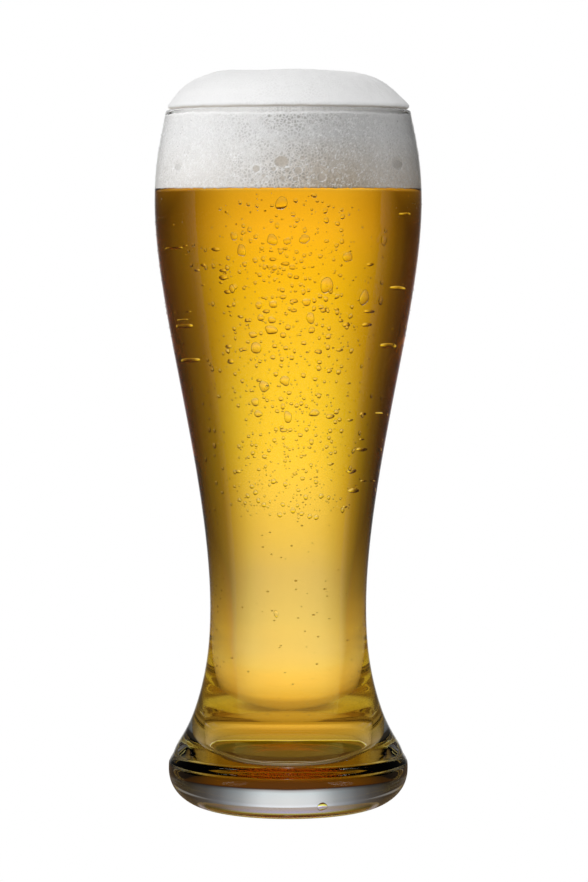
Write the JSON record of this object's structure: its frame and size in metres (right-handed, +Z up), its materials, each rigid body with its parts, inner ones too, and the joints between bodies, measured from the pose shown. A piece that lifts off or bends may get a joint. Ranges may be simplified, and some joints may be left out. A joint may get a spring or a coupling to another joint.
{
  "type": "filled beer glass",
  "caption": "Tall waisted beer glass with a heavy round base, filled with golden lager beer under a domed white head of foam.",
  "frame": {"origin": "centre of the foot, on the surface that the glass stands on", "axes": "+Z up along the axis of the glass; the drink is round, and its side that the picture shows faces -Y"},
  "size_m": [0.088, 0.088, 0.2441],
  "materials": {
    "glass": "clear, polished, with fine cold drops on the outside",
    "beer": "clear golden liquid with a few small bubbles",
    "foam": "soft white foam of fine cells"
  },
  "bodies": {
    "root": {"glass": "glass", "beer": "beer", "foam": "foam"}
  },
  "joints": []
}
